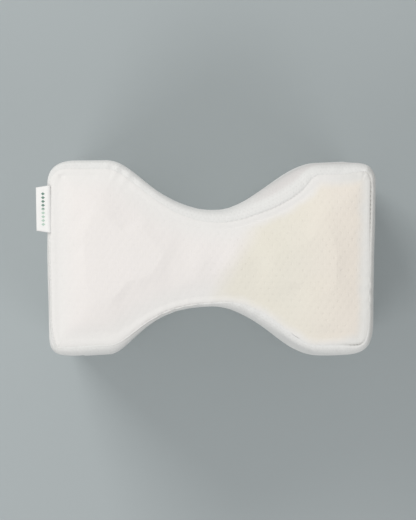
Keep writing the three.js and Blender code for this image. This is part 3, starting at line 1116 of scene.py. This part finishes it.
def make_satin_tape(finish):
    """White satin weave with a row of small woven diamonds along the face of the tape."""
    recipe = Recipe("satin_tape")
    flat = recipe.pattern()
    x, y, _ = recipe.split(flat)
    warp = recipe.math("SINE", x * (TURN / 0.00045))
    weft = recipe.math("SINE", (y + x * 0.5) * (TURN / 0.0008))
    recipe.bump((warp + weft * 0.6) * 0.000018)

    pitch = 2 * MARKED_REACH / max(finish.marks, 1)
    row = recipe.math("FRACT", (y + MARKED_REACH) / pitch)
    up = abs(row - 0.5) * (pitch / MARK_HALF_LENGTH)
    side = abs(x - MARK_LINE) / MARK_HALF_WIDTH
    mark = recipe.ramp(up + side, 0.85, 1.05, 1.0, 0.0)
    mark = mark * recipe.ramp(abs(y), MARKED_REACH - 0.0001, MARKED_REACH + 0.0001, 1.0, 0.0)
    pale = y.ramp(-0.001, 0.001, 1.0, 0.0)
    thread = recipe.mix(pale, finish.mark_colour, finish.pale_mark_colour)
    ground = recipe.mix(recipe.cloud(flat, 160.0, 2.0, 0.0, 0.12), finish.colour, (0.76, 0.74, 0.73))
    colour = recipe.mix(mark * warp.ramp(-0.8, 0.4, 0.7, 1.0), ground, thread)
    return recipe.finish(
        Base_Color=colour, Roughness=recipe.cloud(flat, 900.0, 2.0, 0.5, 0.66),
        Sheen_Weight=0.12, Sheen_Roughness=0.4, Specular_IOR_Level=0.4)


def make_floor_paint(setup):
    """Plain matte floor with the faintest mottle."""
    recipe = Recipe("floor_paint")
    darker = [0.9 * part for part in setup.floor_colour]
    colour = recipe.mix(recipe.cloud(recipe.place(), 6.0, 3.0, 0.0, 0.05), setup.floor_colour, darker)
    return recipe.finish(Base_Color=colour, Roughness=0.9, Specular_IOR_Level=0.2)


# Pieces

class KNEEPILLOW_OT_cover(bpy.types.Operator):
    """Sews the knit cover over the foam, lets the cloth settle and gives it its knit"""

    bl_idname = "knee_pillow.cover"
    bl_label = "Make the knit cover"

    def execute(self, context):
        sizes = context.scene.knee_pillow_cover
        finish = context.scene.knee_pillow_finish
        outline = dense_outline()
        cloth = sewn_cover(outline, sizes)
        points = np.vstack(cloth.points)
        gaps = np.concatenate(cloth.gaps)
        ways = np.concatenate(cloth.ways)
        triangles = corner_triangles(cloth.faces)
        points = eased_crown(points, gaps, triangles, sizes)
        points = settle(points, triangles, gaps, outline, sizes)
        relief = sewing_relief(points, gaps, ways, outline, sizes)
        relief *= np.clip(points[:, 2] / RELIEF_BASE, 0, 1)
        points = points + point_normals(points, triangles) * relief[:, None]
        points[:, 2] = np.maximum(points[:, 2], 0.0)

        piece = make_mesh("pillow_cover", points, cloth.faces)
        piece.data.materials.append(make_panel_knit(finish))
        piece.data.materials.append(make_gusset_knit(finish))
        piece.data.polygons.foreach_set("material_index", np.concatenate(cloth.materials))
        layer = piece.data.uv_layers.new(name="cloth")
        layer.data.foreach_set("uv", np.vstack(cloth.flats).ravel())
        shades = {
            "seam_gap": gaps,
            "seam_show": seam_show(gaps, ways, outline),
            "stitch_show": stronger_near(STITCH_ROWS, ways, outline),
        }
        for name, values in shades.items():
            attribute = piece.data.attributes.new(name, "FLOAT", "POINT")
            attribute.data.foreach_set("value", values)
        piece.data.update()
        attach(piece, "root")
        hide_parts("pillow")
        return {"FINISHED"}


# The tape's section from its upper root over the fold to its lower root: out from the seam, and
# up from the seam's height. Millimetres.
TAPE_SECTION = (
    (-0.5, 0.0), (0.1, 0.75), (1.0, 1.15), (2.0, 1.2), (3.0, 1.0), (4.2, 0.85), (6.0, 0.8), (7.8, 0.6),
    (9.3, 0.3), (10.1, -0.05), (10.35, -0.55), (10.0, -1.0), (9.1, -1.15),
    (7.4, -0.8), (5.6, -0.45), (4.0, -0.15), (2.9, 0.1), (1.9, 0.35), (1.0, 0.35), (0.3, 0.0), (-0.4, -0.7),
)
TAPE_COLUMNS = 37
TAPE_ROWS = 49

# How far out the tape has its fold's width, how much it sways and curls at its edges, all in
# metres, and the slope of its lean.
TAPE_TAPER = 0.0095
TAPE_SWAY = 0.00022
TAPE_CURL = 0.0007
TAPE_LEAN = 0.016


class KNEEPILLOW_OT_side_tape(bpy.types.Operator):
    """Folds the woven tape and sets it in the front seam at the left end"""

    bl_idname = "knee_pillow.side_tape"
    bl_label = "Make the side tape"

    def execute(self, context):
        finish = context.scene.knee_pillow_tape
        sizes = context.scene.knee_pillow_cover
        section = smooth_section(np.array(TAPE_SECTION, float) * MM, TAPE_ROWS)
        low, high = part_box("side_tab")
        middle = (low[1] + high[1]) / 2
        seam = dense_outline().seam
        left_end = seam[seam[:, 0] < -0.1]
        root = left_end[np.argmin(np.abs(left_end[:, 1] - middle))]
        base = front_seam_height(root[None], sizes)[0]
        points, flats = [], []
        out, up = section[:, 0], section[:, 1]
        taper = np.clip(out / TAPE_TAPER, 0, 1)
        width = finish.width + (finish.fold_width - finish.width) * taper
        for share in np.linspace(-0.5, 0.5, TAPE_COLUMNS):
            sway = TAPE_SWAY * np.sin(TURN * (share * 1.3 + 0.2)) * taper
            curl = TAPE_CURL * (2 * share) ** 4 * taper
            y = middle + share * width
            lean = (y - middle) * TAPE_LEAN
            points.append(np.column_stack([root[0] - out - lean, y, base + up + sway - curl]))
            flats.append(np.column_stack([out, share * width]))
        grid = np.arange(TAPE_COLUMNS * TAPE_ROWS).reshape(TAPE_COLUMNS, TAPE_ROWS)
        faces = grid_faces(grid)[:, ::-1]
        piece = make_mesh("side_tape", np.vstack(points), faces.tolist())
        layer = piece.data.uv_layers.new(name="cloth")
        layer.data.foreach_set("uv", np.vstack(flats)[faces].ravel())
        thicken(piece, finish.thickness)
        piece.data.materials.append(make_satin_tape(finish))
        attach(piece, "root")
        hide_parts("side_tab")
        return {"FINISHED"}


def smooth_section(points, count):
    """A smooth line through points, spaced evenly along it."""
    padded = np.vstack([2 * points[0] - points[1], points, 2 * points[-1] - points[-2]])
    t = np.linspace(0, 1, 12, endpoint=False)[:, None]
    rows = []
    for a, b, c, d in zip(padded, padded[1:], padded[2:], padded[3:]):
        rows.append(0.5 * (2 * b + (c - a) * t + (2 * a - 5 * b + 4 * c - d) * t ** 2
                           + (3 * b - a - 3 * c + d) * t ** 3))
    return evenly_along(np.vstack([*rows, points[-1:]]), count)


def thicken(piece, thickness):
    """Gives a sheet its thickness, to both sides, and applies it."""
    bpy.ops.object.select_all(action="DESELECT")
    piece.select_set(True)
    bpy.context.view_layer.objects.active = piece
    solid = piece.modifiers.new("Solidify", "SOLIDIFY")
    solid.thickness = thickness
    solid.offset = 0.0
    solid.use_even_offset = True
    bpy.ops.object.modifier_apply(modifier=solid.name)


# The camera's sensor in millimetres. In metres: the height at which the outline is widest, the
# point that the camera looks at, the floor's size, and how far it lies below the pillow.
SENSOR = 36
OUTLINE_HEIGHT = 0.186
VIEW_CENTRE = (-0.00266, -0.00152)
FLOOR_SIZE = 12
FLOOR_DROP = 0.0006

# Each light's place, the setting of its power, and its colour.
LIGHTS = {
    "key_light": ((-1.0, 1.35, 1.4), "key_power", (1.0, 0.99, 0.97)),
    "left_fill": ((-1.13, -1.13, 1.7), "left_power", (1.0, 0.99, 0.98)),
    "right_fill": ((1.13, -1.13, 1.7), "right_power", (1.0, 0.99, 0.98)),
}


class KNEEPILLOW_OT_stage(bpy.types.Operator):
    """Lays the floor, hangs the soft lights and sets the camera straight above the front panel"""

    bl_idname = "knee_pillow.stage"
    bl_label = "Set the stage"

    def execute(self, context):
        setup = context.scene.knee_pillow_stage
        bpy.ops.object.select_all(action="DESELECT")
        bpy.ops.mesh.primitive_plane_add(size=FLOOR_SIZE, location=(0, 0, 0))
        floor = context.object
        floor.name = "floor"
        for vertex in floor.data.vertices:
            vertex.co.z -= FLOOR_DROP
        floor.data.materials.append(make_floor_paint(setup))

        for name, (place, strength, colour) in LIGHTS.items():
            soft_light(name, place, getattr(setup, strength), colour)
        world = bpy.data.worlds.new("studio_room")
        world.use_nodes = True
        background = world.node_tree.nodes["Background"]
        background.inputs["Color"].default_value = (1.0, 1.0, 1.0, 1.0)
        background.inputs["Strength"].default_value = setup.room_light
        context.scene.world = world
        context.scene.view_settings.view_transform = "Standard"
        context.scene.view_settings.look = "None"

        lens = bpy.data.cameras.new("camera_above")
        lens.sensor_fit = "AUTO"
        lens.sensor_width = SENSOR
        lens.lens = SENSOR * (setup.camera_height - OUTLINE_HEIGHT) / setup.view_height
        camera = bpy.data.objects.new("camera_above", lens)
        camera.location = (*VIEW_CENTRE, setup.camera_height)
        context.scene.collection.objects.link(camera)
        context.scene.camera = camera
        return {"FINISHED"}


def soft_light(name, place, strength, colour):
    """A large light that faces the middle of the pillow."""
    data = bpy.data.lights.new(name, "AREA")
    data.size = 1.0
    data.energy = strength
    data.color = colour
    lamp = bpy.data.objects.new(name, data)
    lamp.location = place
    lamp.rotation_euler = (Vector((0, 0, 0.1)) - Vector(place)).to_track_quat("-Z", "Y").to_euler()
    bpy.context.scene.collection.objects.link(lamp)


class KNEEPILLOW_PT_parts(bpy.types.Panel):
    """Lists what makes the knee pillow"""

    bl_label = "Knee pillow"
    bl_idname = "KNEEPILLOW_PT_parts"
    bl_space_type = "VIEW_3D"
    bl_region_type = "UI"
    bl_category = "Knee pillow"

    def draw(self, context):
        layout = self.layout
        for operator, holder in (
            (KNEEPILLOW_OT_cover, ("knee_pillow_cover", "knee_pillow_finish")),
            (KNEEPILLOW_OT_side_tape, ("knee_pillow_tape",)),
            (KNEEPILLOW_OT_stage, ("knee_pillow_stage",)),
        ):
            box = layout.box()
            for name in holder:
                group = getattr(context.scene, name)
                for setting in group.bl_rna.properties.keys():
                    if setting not in ("rna_type", "name"):
                        box.prop(group, setting)
            box.operator(operator.bl_idname)


SETTINGS = {
    "knee_pillow_cover": CoverSizes,
    "knee_pillow_finish": CoverFinish,
    "knee_pillow_tape": TapeFinish,
    "knee_pillow_stage": StageSetup,
}
CLASSES = (
    *SETTINGS.values(),
    KNEEPILLOW_OT_cover,
    KNEEPILLOW_OT_side_tape,
    KNEEPILLOW_OT_stage,
    KNEEPILLOW_PT_parts,
)


def register():
    for piece in CLASSES:
        bpy.utils.register_class(piece)
    for name, group in SETTINGS.items():
        setattr(bpy.types.Scene, name, PointerProperty(type=group))


def unregister():
    for name in SETTINGS:
        delattr(bpy.types.Scene, name)
    for piece in reversed(CLASSES):
        bpy.utils.unregister_class(piece)


def main():
    """Makes every piece in turn."""
    register()
    bpy.ops.knee_pillow.cover()
    bpy.ops.knee_pillow.side_tape()
    bpy.ops.knee_pillow.stage()


if __name__ == "__main__":
    main()
